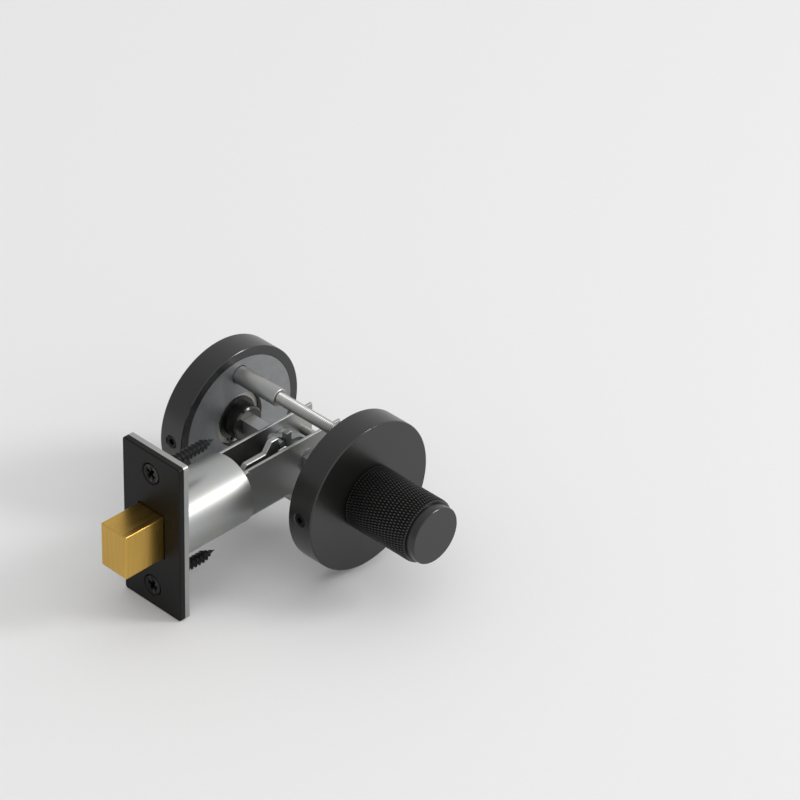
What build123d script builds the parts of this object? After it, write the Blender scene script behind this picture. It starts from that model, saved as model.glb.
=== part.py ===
from build123d import *
from math import cos, hypot, radians, sin, sqrt
import os

# Privacy bolt set: a knurled thumbturn, an emergency release and a tubular dead bolt, in millimetres.
# The spindle's axis is Y and meets the door's inside face at the origin. The door's edge is towards -X,
# its outside face towards +Y, and Z is up. The bolt is thrown, as when the room is locked.

# The door that the set fits, and the travel of the bolt
door_thickness = 48.0
backset = 60.0
bolt_throw = 15.5
turn_angle = 90.0

# Clearances
fit_clearance = 0.05
running_clearance = 0.05
guide_clearance = 0.25
passing_clearance = 0.3
end_float = 0.1

# Broken edges of stamped, turned and cast pieces
edge_break = 0.2

# Cover roses, one on each face of the door
rose_diameter = 51.0
rose_depth = 9.5
rose_wall = 3.0
rose_face = 2.2
rose_edge_radius = 0.5

# Grub screws that hold the roses on their fixing plates
grub_diameter = 4.0
grub_height = 4.6
grub_tilt = 2.5
grub_sunk = 0.3
grub_tip_radius = 0.2
grub_tip_gap = 0.1
grub_hex = 2.0
grub_hex_depth = 1.2
grub_mouth = 0.4
grub_groove_depth = 1.0

# Fixing plates under the roses
plate_thickness = 7.0
plate_clearance = 0.15
clip_recess_diameter = 19.0
clip_recess_depth = 2.5

# Bolts and sleeve nuts that clamp the plates on the door
thread_diameter = 4.0
thread_engagement = 12.0
bolt_hole_clearance = 0.2
screw_head_diameter = 7.0
screw_head_height = 2.6
screw_head_round = 1.2
thread_end_chamfer = 0.4
head_clearance = 0.3
pocket_depth = 3.0
pocket_land = 0.5
sleeve_diameter = 6.0
sleeve_head_height = 2.2
sleeve_head_round = 0.8
sleeve_length = 22.0
driver_slot_width = 1.2
driver_slot_depth = 1.2

# Thumbturn knob
knob_diameter = 21.5
knob_reach = 28.3
knob_gap = 0.4
knob_chamfer = 0.5
band_diameter = 19.2
band_length = 3.2
band_chamfer = 0.25
shoulder_diameter = 14.0
knurl_count = 70
knurl_diamond_length = 2.74
knurl_depth = 0.4

# Neck that turns in the fixing plate, the same on the knob and on the release
neck_diameter = 12.0
neck_reach = 4.0
neck_chamfer = 0.5
clip_thickness = 0.8
clip_width = 1.95
clip_groove_depth = 0.6
clip_lug_radius = 1.35
clip_lug_spread = 2.7
clip_lug_hole_radius = 0.6
washer_thickness = 0.6
washer_width = 2.9

# Spindle and the pin that keeps it in the knob
spindle_side = 5.0
spindle_in_knob = 18.0
spindle_in_release = 7.5
spindle_end_gap = 0.5
spindle_chamfer = 0.4
spindle_pin_diameter = 2.0
spindle_pin_short = 0.2

# Emergency release disc
release_diameter = 18.0
release_stand = 1.5
release_chamfer = 0.6
coin_slot_width = 1.6
coin_slot_length = 12.0
coin_slot_depth = 1.5

# Faceplate, forend and their wood screws
faceplate_height = 57.0
faceplate_thickness = 2.0
faceplate_corner = 1.0
faceplate_chamfer = 0.3
bolt_opening_break = 0.1
forend_thickness = 2.0
barrel_seat_depth = 1.0
barrel_land = 0.7
wood_screw_spacing = 42.0
wood_screw_head_diameter = 7.6
wood_screw_neck_diameter = 4.2
wood_screw_shank_diameter = 3.6
wood_screw_length = 26.0
wood_screw_point = 4.0
wood_screw_tip_radius = 0.2
wood_screw_sunk = 0.1
wood_screw_hole_clearance = 0.15
cross_length = 3.6
cross_width = 1.0
cross_depth = 1.4

# Brass bolt
bolt_width = 11.0
bolt_height = 15.6
bolt_length = 30.0
bolt_edge_radius = 0.4
bolt_slot_depth = 9.0

# Barrel and folded case
barrel_wall = 0.8
barrel_overrun = 2.0
case_sheet = 1.0
case_fold_radius = 0.6
case_cheek_margin = 0.8
case_lap = 20.0
case_behind_spindle = 14.0
case_bore_gap = 0.5
rivet_diameter = 3.0
rivet_neck_diameter = 2.2
rivet_head_diameter = 3.8
rivet_head_height = 0.6
rivet_head_round = 0.4
rivet_from_case_end = 3.5

# Follower with its lever and drive stud
journal_wall = 0.6
collar_step = 1.05
lever_thickness = 3.0
lever_tip_radius = 1.5
stud_diameter = 2.4
stud_overrun = 0.2

# Tail plate between the bolt and the follower
tail_thickness = 2.0
tail_off_centre = 2.1
tail_half_height = 5.0
tail_tongue = 8.5
tail_web = 3.0
tail_slope = 2.5
tail_arm_rise = 3.0
tail_slot_clearance = 0.45
tail_front_wall = 3.0
tail_rear_wall = 2.5
tail_window_radius = 2.0
tail_pin_diameter = 3.0

# Detent spring on the floor of the case
detent_from_axis = 5.0
detent_room = 1.3
notch_depth = 1.0
notch_half_width = 1.8
notch_end_land = 1.2
spring_thickness = 0.4
spring_width = 4.0
spring_flat = 11.0
spring_ramp = 6.8
spring_bump_half_width = 2.2
spring_shoulder_rise = 0.55
spring_end_rise = 0.35
spring_end_length = 2.8
spring_bend_radius = 0.7
spring_rivet_diameter = 2.0
spring_rivet_head_diameter = 3.4
spring_rivet_head_height = 0.5
spring_rivet_head_round = 0.3
spring_rivet_inset = 2.5

# Places worked out from the sizes above, in the order of the door
rose_radius = rose_diameter / 2
plate_radius = rose_radius - rose_wall - plate_clearance
plate_front = -plate_thickness
neck_radius = neck_diameter / 2
thread_radius = thread_diameter / 2
head_radius = screw_head_diameter / 2
pocket_radius = head_radius + head_clearance
pocket_floor = plate_front + pocket_depth
bolt_offset = plate_radius - grub_groove_depth - pocket_land - pocket_radius
clip_start = -clip_recess_depth + washer_thickness + end_float
clip_end = clip_start + clip_thickness
clip_inner_radius = neck_radius - clip_groove_depth + fit_clearance
socket_half = spindle_side / 2 + fit_clearance

middle = door_thickness / 2
edge = -backset
forend_front = edge + faceplate_thickness
forend_back = forend_front + forend_thickness
bolt_front = edge - bolt_throw
bolt_rear = bolt_front + bolt_length
barrel_front = forend_back - barrel_seat_depth
barrel_rear = edge + bolt_length + barrel_overrun
case_inner_half = bolt_width / 2 + guide_clearance
case_outer_half = case_inner_half + case_sheet
cheek_half_height = bolt_height / 2 + case_cheek_margin
barrel_inner_radius = hypot(case_outer_half, cheek_half_height) + fit_clearance
barrel_radius = barrel_inner_radius + barrel_wall
faceplate_width = 2 * (barrel_radius + fit_clearance + barrel_land)
case_front = barrel_rear - case_lap
case_bottom = -sqrt((barrel_radius + case_bore_gap) ** 2 - case_outer_half ** 2)
case_floor = case_bottom + case_sheet

journal_radius = sqrt(2) * socket_half + journal_wall
collar_radius = journal_radius + collar_step
stud_radius = stud_diameter / 2
lever_angle = turn_angle / 2
lever_radius = bolt_throw / (2 * sin(radians(lever_angle)))
tail_start = middle - tail_off_centre - tail_thickness / 2
tail_end = tail_start + tail_thickness
lever_start = tail_end + passing_clearance
lever_end = lever_start + lever_thickness

arm_inner = journal_radius + passing_clearance
window_front = -(journal_radius + passing_clearance + bolt_throw)
arm_root = window_front - tail_web
tail_front = bolt_rear - tail_tongue
tail_pin_x = bolt_rear - bolt_slot_depth / 2
tail_bottom = case_floor + detent_room
detent_x = -detent_from_axis
arm_end = detent_x + notch_half_width + notch_end_land
slot_x = -lever_radius * sin(radians(lever_angle))
slot_half = stud_radius + tail_slot_clearance
slot_floor = lever_radius * cos(radians(lever_angle)) - stud_radius - passing_clearance
spring_start = detent_x - spring_bump_half_width - spring_ramp - spring_flat
spring_rivet_x = spring_start + spring_rivet_inset


def turned(points):
    """Revolve an outline of (radius, y) points about the spindle's axis."""
    return revolve(make_face(Polyline(*points, close=True)), Axis.Y)


def across(sketch, start, end):
    """Extrude a sketch drawn in x and z through the door's thickness, from one y to another."""
    return extrude(Plane.XZ.offset(-end) * sketch, end - start)


def along(sketch, start, end):
    """Extrude a sketch drawn in y and z along the bolt, from one x to another."""
    return extrude(Plane.YZ.offset(start) * sketch, end - start)


def outside(piece):
    """Mirror a piece of the inside face to the door's outside face."""
    return Pos(0, door_thickness, 0) * mirror(piece, Plane.XZ)


# Cover roses and their grub screws

grub_axis = Plane(
    origin=(0, -grub_height, 0),
    x_dir=(0, 1, 0),
    z_dir=(-cos(radians(grub_tilt)), 0, sin(radians(grub_tilt))),
)
grub_radius = grub_diameter / 2


def make_rose(hole_radius):
    """Turned cup with a hole for the neck, a softened front edge and a tapped hole in its rim."""
    inner_radius = rose_radius - rose_wall
    inner_face = rose_face - rose_depth
    cup = turned([
        (hole_radius, edge_break - rose_depth),
        (hole_radius + edge_break, -rose_depth),
        (rose_radius, -rose_depth),
        (rose_radius, -edge_break),
        (rose_radius - edge_break, 0),
        (inner_radius, 0),
        (inner_radius, inner_face),
        (hole_radius, inner_face),
    ])
    front_rim = cup.edges().filter_by(GeomType.CIRCLE).group_by(Axis.Y)[0].sort_by(SortBy.RADIUS)[-1]
    cup = fillet(front_rim, rose_edge_radius)
    hole = grub_radius + fit_clearance
    tapped = Pos(0, 0, rose_radius - rose_wall / 2) * Cylinder(hole, 2 * rose_wall)
    mouth = Pos(0, 0, rose_radius) * Cone(hole - grub_mouth, hole + 3 * grub_mouth, 4 * grub_mouth)
    return cup - grub_axis * tapped - grub_axis * mouth


def make_grub_screw():
    """Cone-point grub screw, from the groove of the fixing plate to just under the rose's rim."""
    tip = plate_radius - grub_groove_depth + grub_tip_radius + grub_tip_gap
    cone_height = grub_radius - grub_tip_radius
    head = rose_radius - grub_sunk
    shank_length = head - tip - cone_height
    screw = Pos(0, 0, tip + cone_height / 2) * Cone(grub_tip_radius, grub_radius, cone_height)
    screw += Pos(0, 0, head - shank_length / 2) * Cylinder(grub_radius, shank_length)
    hexagon = RegularPolygon(grub_hex / 2, 6, major_radius=False)
    screw -= Pos(0, 0, head - grub_hex_depth) * extrude(hexagon, grub_hex_depth)
    return grub_axis * screw


# Fixing plates, and the bolts and sleeve nuts that draw them together

bolt_heights = (bolt_offset, -bolt_offset)


def make_plate(bolt_hole_radius):
    """Round plate with a bore for the neck, a rim groove, a clip recess and two bolt holes."""
    bore = neck_radius + running_clearance
    recess = clip_recess_diameter / 2
    plate = turned([
        (bore, plate_front + edge_break),
        (bore + edge_break, plate_front),
        (plate_radius - edge_break, plate_front),
        (plate_radius, plate_front + edge_break),
        (plate_radius, -grub_height - grub_groove_depth),
        (plate_radius - grub_groove_depth, -grub_height),
        (plate_radius, -grub_height + grub_groove_depth),
        (plate_radius, 0),
        (recess, 0),
        (recess, -clip_recess_depth),
        (bore, -clip_recess_depth),
    ])
    holes = Sketch() + [Pos(0, z) * Circle(bolt_hole_radius) for z in bolt_heights]
    pockets = Sketch() + [Pos(0, z) * Circle(pocket_radius) for z in bolt_heights]
    return plate - across(holes, plate_front, 0) - across(pockets, plate_front, pocket_floor)


sleeve_end = door_thickness - pocket_floor
sleeve_start = sleeve_end - sleeve_length


def make_through_bolt(z):
    """Pan-head bolt from the inside plate's pocket into the sleeve nut."""
    head_front = pocket_floor - screw_head_height
    bolt = across(Pos(0, z) * Circle(head_radius), head_front, pocket_floor)
    bolt += across(Pos(0, z) * Circle(thread_radius), pocket_floor, sleeve_start + thread_engagement)
    bolt = fillet(bolt.edges().filter_by(GeomType.CIRCLE).group_by(Axis.Y)[0], screw_head_round)
    bolt = chamfer(bolt.edges().filter_by(GeomType.CIRCLE).group_by(Axis.Y)[-1], thread_end_chamfer)
    slot = Pos(0, z) * Rectangle(screw_head_diameter, driver_slot_width)
    return bolt - across(slot, head_front, head_front + driver_slot_depth)


def make_sleeve_nut(z):
    """Sleeve with a slotted head in the outside plate's pocket and a tapped bore from the door's side."""
    head_end = sleeve_end + sleeve_head_height
    nut = across(Pos(0, z) * Circle(sleeve_diameter / 2), sleeve_start, sleeve_end)
    nut += across(Pos(0, z) * Circle(head_radius), sleeve_end, head_end)
    nut = fillet(nut.edges().filter_by(GeomType.CIRCLE).group_by(Axis.Y)[-1], sleeve_head_round)
    nut = chamfer(nut.edges().filter_by(GeomType.CIRCLE).group_by(Axis.Y)[0], edge_break)
    nut -= across(Pos(0, z) * Circle(thread_radius + fit_clearance), sleeve_start, sleeve_end)
    slot = Pos(0, z) * Rectangle(screw_head_diameter, driver_slot_width)
    return nut - across(slot, head_end - driver_slot_depth, head_end)


# Knob and release, with the neck, washer and circlip that they share

neck_outline = [
    (neck_radius, plate_front - end_float),
    (neck_radius, clip_start - fit_clearance),
    (neck_radius - clip_groove_depth, clip_start - fit_clearance),
    (neck_radius - clip_groove_depth, clip_end + fit_clearance),
    (neck_radius, clip_end + fit_clearance),
    (neck_radius, neck_reach - neck_chamfer),
    (neck_radius - neck_chamfer, neck_reach),
    (0, neck_reach),
]


def spindle_socket(depth):
    """Square hole for the spindle, cut in from the end of the neck."""
    square = Rectangle(2 * socket_half, 2 * socket_half)
    return across(square, -depth, neck_reach)


def knurl_point(row, place, y):
    """Point of the knurl's net, on a diamond's tip where row and place add up to an even number."""
    radius = knob_diameter / 2 - knurl_depth * ((row + place) % 2)
    angle = radians(place * 180 / knurl_count)
    return Vector(radius * sin(angle), y, radius * cos(angle))


def knurled_bar(start, end):
    """Bar with a diamond knurl: each diamond is a point of four flat facets, cut by crossed grooves."""
    row_count = round(2 * (end - start) / knurl_diamond_length)
    heights = [start + (end - start) * row / row_count for row in range(row_count + 1)]
    net = [[knurl_point(row, place, y) for place in range(2 * knurl_count)] for row, y in enumerate(heights)]
    facets = [Face(Wire.make_polygon(net[0])), Face(Wire.make_polygon(net[-1]))]
    for row in range(row_count):
        for place in range(2 * knurl_count):
            a, b = net[row][place - 1], net[row][place]
            c, d = net[row + 1][place], net[row + 1][place - 1]
            halves = ((a, b, c), (a, c, d)) if (row + place) % 2 == 0 else ((a, b, d), (b, c, d))
            facets += [Face(Wire.make_polygon(corners)) for corners in halves]
    return Solid(Shell(facets))


def end_chamfer(y, inward):
    """Ring that cuts the chamfer at one end of the grip, whose body lies inward of y."""
    radius = knob_diameter / 2
    return turned([
        (radius - 2 * knob_chamfer, y - inward * knob_chamfer),
        (radius + knob_chamfer, y - inward * knob_chamfer),
        (radius + knob_chamfer, y + inward * 2 * knob_chamfer),
    ])


def make_knob():
    """Turned knob: smooth end band, knurled grip with chamfered ends, shoulder and neck."""
    band = band_diameter / 2
    shoulder = shoulder_diameter / 2
    end = -rose_depth - knob_reach
    step = end + band_length
    back = -rose_depth - knob_gap
    grip = knurled_bar(step, back) - end_chamfer(step, 1) - end_chamfer(back, -1)
    knob = grip + turned([
        (0, end),
        (band - band_chamfer, end),
        (band, end + band_chamfer),
        (band, step),
        (shoulder, step),
        (shoulder, plate_front - end_float),
    ] + neck_outline)
    knob -= spindle_socket(spindle_in_knob + spindle_end_gap)
    pin_hole = Cylinder(spindle_pin_diameter / 2 + fit_clearance, neck_diameter)
    return knob - Pos(0, neck_reach / 2, 0) * Rot(0, 90, 0) * pin_hole


def make_release():
    """Turned disc with a coin slot across its face, on the same neck as the knob."""
    radius = release_diameter / 2
    face = -rose_depth - release_stand
    disc = turned([
        (0, face),
        (radius - release_chamfer, face),
        (radius, face + release_chamfer),
        (radius, plate_front - end_float),
    ] + neck_outline)
    disc -= spindle_socket(spindle_in_release + spindle_end_gap)
    coin_slot = SlotOverall(coin_slot_length, coin_slot_width)
    return disc - across(coin_slot, face, face + coin_slot_depth)


def make_washer():
    """Flat washer on the floor of the plate's clip recess."""
    inner = neck_radius + passing_clearance
    ring = Circle(inner + washer_width) - Circle(inner)
    return across(ring, -clip_recess_depth, -clip_recess_depth + washer_thickness)


def make_circlip():
    """Open ring in the neck's groove, with two holed lugs beside its opening."""
    lug_depth = -(clip_inner_radius + clip_width - clip_lug_radius / 2)
    opening = 2 * (clip_lug_spread - clip_lug_radius)
    ring = Circle(clip_inner_radius + clip_width) - Circle(clip_inner_radius)
    ring += [Pos(side * clip_lug_spread, lug_depth) * Circle(clip_lug_radius) for side in (-1, 1)]
    ring -= [Pos(side * clip_lug_spread, lug_depth) * Circle(clip_lug_hole_radius) for side in (-1, 1)]
    ring -= Pos(0, lug_depth) * Rectangle(opening, 2 * clip_inner_radius)
    return across(ring, clip_start, clip_end)


def make_spindle():
    """Square bar from the knob through the follower to the release, with a hole for its pin."""
    outer_end = door_thickness + spindle_in_release
    bar = across(Rectangle(spindle_side, spindle_side), -spindle_in_knob, outer_end)
    ends = bar.faces().sort_by(Axis.Y)
    bar = chamfer(ends[0].edges() + ends[-1].edges(), spindle_chamfer)
    pin_hole = Cylinder(spindle_pin_diameter / 2 + fit_clearance, 2 * spindle_side)
    return bar - Pos(0, neck_reach / 2, 0) * Rot(0, 90, 0) * pin_hole


def make_spindle_pin():
    """Round pin across the neck and the spindle."""
    pin = Cylinder(spindle_pin_diameter / 2, neck_diameter - 2 * spindle_pin_short)
    pin = chamfer(pin.edges().filter_by(GeomType.CIRCLE), edge_break)
    return Pos(0, neck_reach / 2, 0) * Rot(0, 90, 0) * pin


# Faceplate, forend and wood screws on the door's edge

edge_outline = Pos(middle, 0) * RectangleRounded(faceplate_width, faceplate_height, faceplate_corner)
bolt_opening = Pos(middle, 0) * Rectangle(
    bolt_width + 2 * passing_clearance,
    bolt_height + 2 * passing_clearance,
)
screw_places = [Pos(middle, side * wood_screw_spacing / 2) for side in (-1, 1)]
screw_hole = Circle(wood_screw_neck_diameter / 2 + wood_screw_hole_clearance)
head_cone_height = (wood_screw_head_diameter - wood_screw_neck_diameter) / 2


def screw_cone(widening):
    """Countersunk head shape on the bolt's axis, made wider all round for its seat."""
    wide = wood_screw_head_diameter / 2 + widening
    narrow = wood_screw_neck_diameter / 2 + widening
    cone = Cone(wide, narrow, head_cone_height)
    return Pos(edge + wood_screw_sunk + head_cone_height / 2, 0, 0) * Rot(0, 90, 0) * cone


def make_faceplate():
    """Outer plate with the bolt's opening and two countersunk holes."""
    plate = along(edge_outline - bolt_opening, edge, forend_front)
    rim = plate.faces().sort_by(Axis.X)[0].outer_wire().edges()
    plate = chamfer(rim, faceplate_chamfer)
    opening = plate.faces().sort_by(Axis.X)[0].inner_wires()[0].edges()
    plate = chamfer(opening, bolt_opening_break)
    mouth = Circle(wood_screw_head_diameter / 2 + fit_clearance)
    for place in screw_places:
        plate -= along(place * screw_hole, edge, forend_front)
        plate -= along(place * mouth, edge, edge + wood_screw_sunk)
        plate -= Pos(0, place.position.X, place.position.Y) * screw_cone(fit_clearance)
    return plate


def make_forend():
    """Inner plate with the bolt's opening, screw holes and a round seat for the barrel."""
    plate = along(edge_outline - bolt_opening, forend_front, forend_back)
    rim = plate.faces().sort_by(Axis.X)[-1].outer_wire().edges()
    plate = chamfer(rim, edge_break)
    plate -= along(Sketch() + [place * screw_hole for place in screw_places], forend_front, forend_back)
    seat = Pos(middle, 0) * Circle(barrel_radius + fit_clearance)
    return plate - along(seat, barrel_front, forend_back)


def make_wood_screw(place):
    """Countersunk cross-head screw: head, neck through the plates, and plain shank with a point."""
    head = edge + wood_screw_sunk
    shank_end = head + wood_screw_length - wood_screw_point
    shank_radius = wood_screw_shank_diameter / 2
    point = Rot(0, 90, 0) * Cone(shank_radius, wood_screw_tip_radius, wood_screw_point)
    point = Pos(shank_end + wood_screw_point / 2, 0, 0) * point
    screw = Pos(0, place.position.X, place.position.Y) * (screw_cone(0) + point)
    screw += along(place * Circle(wood_screw_neck_diameter / 2), head + head_cone_height, forend_back)
    screw += along(place * Circle(shank_radius), forend_back, shank_end)
    cross = Rectangle(cross_length, cross_width) + Rectangle(cross_width, cross_length)
    return screw - along(place * cross, head, head + cross_depth)


# Bolt, tail plate and the pin between them

def make_dead_bolt():
    """Brass bar with softened edges, a slot for the tail and a cross hole for its pin."""
    bar = along(Pos(middle, 0) * Rectangle(bolt_width, bolt_height), bolt_front, bolt_rear)
    long_edges = bar.edges().filter_by(Axis.X)
    front_edges = bar.faces().sort_by(Axis.X)[0].edges()
    bar = fillet(long_edges + front_edges, bolt_edge_radius)
    bar = chamfer(bar.faces().sort_by(Axis.X)[-1].edges(), edge_break)
    slot = Pos((tail_start + tail_end) / 2, 0) * Rectangle(
        tail_thickness + 2 * fit_clearance,
        2 * (tail_half_height + fit_clearance),
    )
    bar -= along(slot, bolt_rear - bolt_slot_depth, bolt_rear)
    hole = Pos(tail_pin_x, 0) * Circle(tail_pin_diameter / 2 + fit_clearance)
    return bar - across(hole, middle - bolt_width / 2, middle + bolt_width / 2)


def make_tail():
    """Plate with a tongue in the bolt, two arms round the follower, a stud slot and two notches."""
    wall_front = slot_x - slot_half - tail_front_wall
    wall_rear = slot_x + slot_half + tail_rear_wall
    arm_top = arm_inner + tail_arm_rise
    outline = Polyline(
        (tail_front, -tail_half_height),
        (arm_root - tail_slope, -tail_half_height),
        (arm_root, tail_bottom),
        (arm_end, tail_bottom),
        (arm_end, -arm_inner),
        (window_front, -arm_inner),
        (window_front, arm_inner),
        (wall_rear, arm_inner),
        (wall_rear, lever_radius),
        (wall_front, lever_radius),
        (wall_front - tail_slope, arm_top),
        (arm_root, arm_top),
        (arm_root - tail_slope, tail_half_height),
        (tail_front, tail_half_height),
        close=True,
    )
    plate = make_face(outline)
    corners = [vertex for vertex in plate.vertices() if abs(vertex.X - window_front) < fit_clearance]
    plate = fillet(corners, tail_window_radius)
    slot_height = 2 * (lever_radius - slot_floor)
    plate -= Pos(slot_x, lever_radius) * Rectangle(2 * slot_half, slot_height)
    for notch_x in (detent_x, detent_x - bolt_throw):
        plate -= make_face(Polyline(
            (notch_x - notch_half_width, tail_bottom),
            (notch_x + notch_half_width, tail_bottom),
            (notch_x, tail_bottom + notch_depth),
            close=True,
        ))
    plate -= Pos(tail_pin_x, 0) * Circle(tail_pin_diameter / 2 + fit_clearance)
    tail = across(plate, tail_start, tail_end)
    sides = tail.faces().sort_by(Axis.Y)
    return chamfer(sides[0].outer_wire().edges() + sides[-1].outer_wire().edges(), edge_break)


def make_tail_pin():
    """Round pin across the bolt and the tail's tongue."""
    half_length = bolt_width / 2 - bolt_edge_radius
    round_bar = Pos(tail_pin_x, 0) * Circle(tail_pin_diameter / 2)
    pin = across(round_bar, middle - half_length, middle + half_length)
    return chamfer(pin.edges().filter_by(GeomType.CIRCLE), edge_break)


# Barrel, case and rivets

def make_barrel():
    """Round tube from its seat in the forend to behind the drawn bolt."""
    ring = Circle(barrel_radius) - Circle(barrel_inner_radius)
    barrel = along(Pos(middle, 0) * ring, barrel_front, barrel_rear)
    return chamfer(barrel.edges().filter_by(GeomType.CIRCLE), edge_break)


front_rivet_x = arm_root - tail_slope - rivet_diameter / 2
front_rivet_z = tail_half_height + rivet_diameter / 2 + passing_clearance
rear_rivet_x = case_behind_spindle - rivet_from_case_end
rivet_places = [Pos(front_rivet_x, front_rivet_z), Pos(rear_rivet_x, 0)]


def make_case():
    """Channel folded from sheet: its cheeks carry the follower and run forward into the barrel."""
    height = cheek_half_height - case_bottom
    outer = Rectangle(2 * case_outer_half, height)
    outer = fillet(outer.vertices().group_by(Axis.Y)[0], case_fold_radius + case_sheet)
    inner = Pos(0, case_sheet) * Rectangle(2 * case_inner_half, height)
    inner = fillet(inner.vertices().group_by(Axis.Y)[0], case_fold_radius)
    channel = outer - inner
    channel = fillet(channel.vertices().group_by(Axis.Y)[-1], edge_break)
    section = Pos(middle, case_bottom + height / 2) * channel
    case = along(section, case_front, case_behind_spindle)
    skirt_height = -cheek_half_height - case_bottom
    skirt = Pos(middle, case_bottom + skirt_height / 2) * Rectangle(2 * case_outer_half, skirt_height)
    case -= along(skirt, case_front, barrel_rear + passing_clearance)
    cheek_start = middle - case_outer_half
    cheek_end = middle + case_outer_half
    case -= across(Circle(journal_radius + running_clearance), cheek_start, cheek_end)
    rivet_hole = Circle(rivet_neck_diameter / 2 + fit_clearance)
    case -= across(Sketch() + [place * rivet_hole for place in rivet_places], cheek_start, cheek_end)
    spring_hole = Cylinder(spring_rivet_diameter / 2 + fit_clearance, 4 * case_sheet)
    return case - Pos(spring_rivet_x, (tail_start + tail_end) / 2, case_floor) * spring_hole


def make_case_rivet(place):
    """Shouldered rivet between the cheeks, headed over on both outsides."""
    head_start = middle - case_outer_half - rivet_head_height
    head_end = middle + case_outer_half + rivet_head_height
    rivet = across(place * Circle(rivet_diameter / 2), middle - case_inner_half, middle + case_inner_half)
    rivet += across(place * Circle(rivet_neck_diameter / 2), head_start, head_end)
    rivet += across(place * Circle(rivet_head_diameter / 2), head_start, middle - case_outer_half)
    rivet += across(place * Circle(rivet_head_diameter / 2), middle + case_outer_half, head_end)
    rims = rivet.edges().filter_by(GeomType.CIRCLE).group_by(Axis.Y)
    return fillet(rims[0] + rims[-1], rivet_head_round)


# Follower and detent spring

def make_follower():
    """Hub with two journals, a neck for the tail's arms, a lever and a drive stud, square through."""
    collar_front = middle - case_inner_half + end_float
    collar_back = middle + case_inner_half - end_float
    hub = turned([
        (0, middle - case_outer_half),
        (journal_radius - edge_break, middle - case_outer_half),
        (journal_radius, middle - case_outer_half + edge_break),
        (journal_radius, collar_front),
        (collar_radius, collar_front),
        (collar_radius, tail_start - passing_clearance),
        (journal_radius, tail_start - passing_clearance),
        (journal_radius, lever_start),
        (collar_radius, lever_start),
        (collar_radius, collar_back),
        (journal_radius, collar_back),
        (journal_radius, middle + case_outer_half - edge_break),
        (journal_radius - edge_break, middle + case_outer_half),
        (0, middle + case_outer_half),
    ])
    tip = Pos(0, lever_radius) * Circle(lever_tip_radius)
    lever = across(make_hull(Circle(journal_radius).edges() + tip.edges()), lever_start, lever_end)
    stud = Pos(0, lever_radius) * Circle(stud_radius)
    lever += across(stud, tail_start - stud_overrun, lever_start)
    hub += Rot(0, -lever_angle, 0) * lever
    square = Rectangle(2 * socket_half, 2 * socket_half)
    return hub - across(square, middle - case_outer_half, middle + case_outer_half)


def make_detent_spring():
    """Leaf spring along the floor of the case, bent up into a bump that sits in the tail's notch."""
    middle_line = case_floor + spring_thickness / 2
    bump = tail_bottom + notch_depth - passing_clearance - spring_thickness / 2
    ramp_end = detent_x - spring_bump_half_width
    bump_end = detent_x + spring_bump_half_width
    spring_y = (tail_start + tail_end) / 2
    path = Plane.XZ.offset(-spring_y) * FilletPolyline(
        (spring_start, middle_line),
        (ramp_end - spring_ramp, middle_line),
        (ramp_end, middle_line + spring_shoulder_rise),
        (detent_x, bump),
        (bump_end, middle_line + spring_shoulder_rise),
        (bump_end + spring_end_length, middle_line + spring_end_rise),
        radius=spring_bend_radius,
    )
    start_plane = Plane(origin=path @ 0, x_dir=(0, 1, 0), z_dir=path % 0)
    leaf = sweep(start_plane * Rectangle(spring_width, spring_thickness), path)
    hole = Cylinder(spring_rivet_diameter / 2 + fit_clearance, 4 * spring_thickness)
    return leaf - Pos(spring_rivet_x, spring_y, middle_line) * hole


def make_spring_rivet():
    """Small rivet through the leaf spring and the floor of the case."""
    top = case_floor + spring_thickness
    shank_height = top - case_bottom
    head = Cylinder(spring_rivet_head_diameter / 2, spring_rivet_head_height)
    rivet = Pos(0, 0, case_bottom + shank_height / 2) * Cylinder(spring_rivet_diameter / 2, shank_height)
    rivet += Pos(0, 0, top + spring_rivet_head_height / 2) * head
    rivet += Pos(0, 0, case_bottom - spring_rivet_head_height / 2) * head
    rims = rivet.edges().filter_by(GeomType.CIRCLE).group_by(Axis.Z)
    rivet = fillet(rims[0] + rims[-1], spring_rivet_head_round)
    return Pos(spring_rivet_x, (tail_start + tail_end) / 2, 0) * rivet


knob_hole_radius = shoulder_diameter / 2 + passing_clearance
release_hole_radius = release_diameter / 2 + passing_clearance

pieces = {
    "turn_rose": make_rose(knob_hole_radius),
    "turn_rose_grub_screw": make_grub_screw(),
    "turn_base": make_plate(thread_radius + bolt_hole_clearance),
    "turn_knob": make_knob(),
    "turn_washer": make_washer(),
    "turn_circlip": make_circlip(),
    "spindle": make_spindle(),
    "spindle_pin": make_spindle_pin(),
    "through_bolts": Part() + [make_through_bolt(z) for z in bolt_heights],
    "sleeve_nuts": Part() + [make_sleeve_nut(z) for z in bolt_heights],
    "release_rose": outside(make_rose(release_hole_radius)),
    "release_rose_grub_screw": outside(make_grub_screw()),
    "release_base": outside(make_plate(sleeve_diameter / 2 + bolt_hole_clearance)),
    "release_turn": outside(make_release()),
    "release_washer": outside(make_washer()),
    "release_circlip": outside(make_circlip()),
    "faceplate": make_faceplate(),
    "forend": make_forend(),
    "faceplate_screws": Part() + [make_wood_screw(place) for place in screw_places],
    "dead_bolt": make_dead_bolt(),
    "bolt_tail": make_tail(),
    "tail_pin": make_tail_pin(),
    "bolt_barrel": make_barrel(),
    "bolt_case": make_case(),
    "case_rivets": Part() + [make_case_rivet(place) for place in rivet_places],
    "follower": make_follower(),
    "detent_spring": make_detent_spring(),
    "spring_rivet": make_spring_rivet(),
}

os.makedirs("parts", exist_ok=True)
for name, piece in pieces.items():
    export_step(piece, f"parts/{name}.step")
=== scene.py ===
import bmesh
import bpy
from math import cos, pi, radians, sin
from mathutils import Matrix, Vector


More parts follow.
